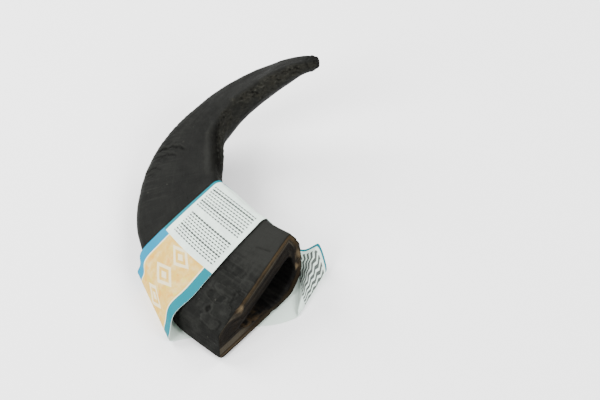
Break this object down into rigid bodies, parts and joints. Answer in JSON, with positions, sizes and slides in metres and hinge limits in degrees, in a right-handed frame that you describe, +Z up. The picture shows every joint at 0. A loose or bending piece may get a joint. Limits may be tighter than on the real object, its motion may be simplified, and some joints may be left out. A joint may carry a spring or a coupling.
{
  "type": "buffalo horn",
  "caption": "Curved buffalo horn with a hollow sawn base and blunt tip, lying on its side in a loose printed paper sleeve.",
  "frame": {"origin": "middle of the footprint, on the table that the horn and its sleeve lie on", "axes": "+Y into the horn from its sawn base, +X the way that the tip curves, +Z up"},
  "size_m": [0.1966, 0.157, 0.077],
  "materials": {
    "horn": "satin",
    "paper": "matte"
  },
  "bodies": {
    "root": {"horn": "horn", "paper_sleeve": "paper"}
  },
  "joints": []
}
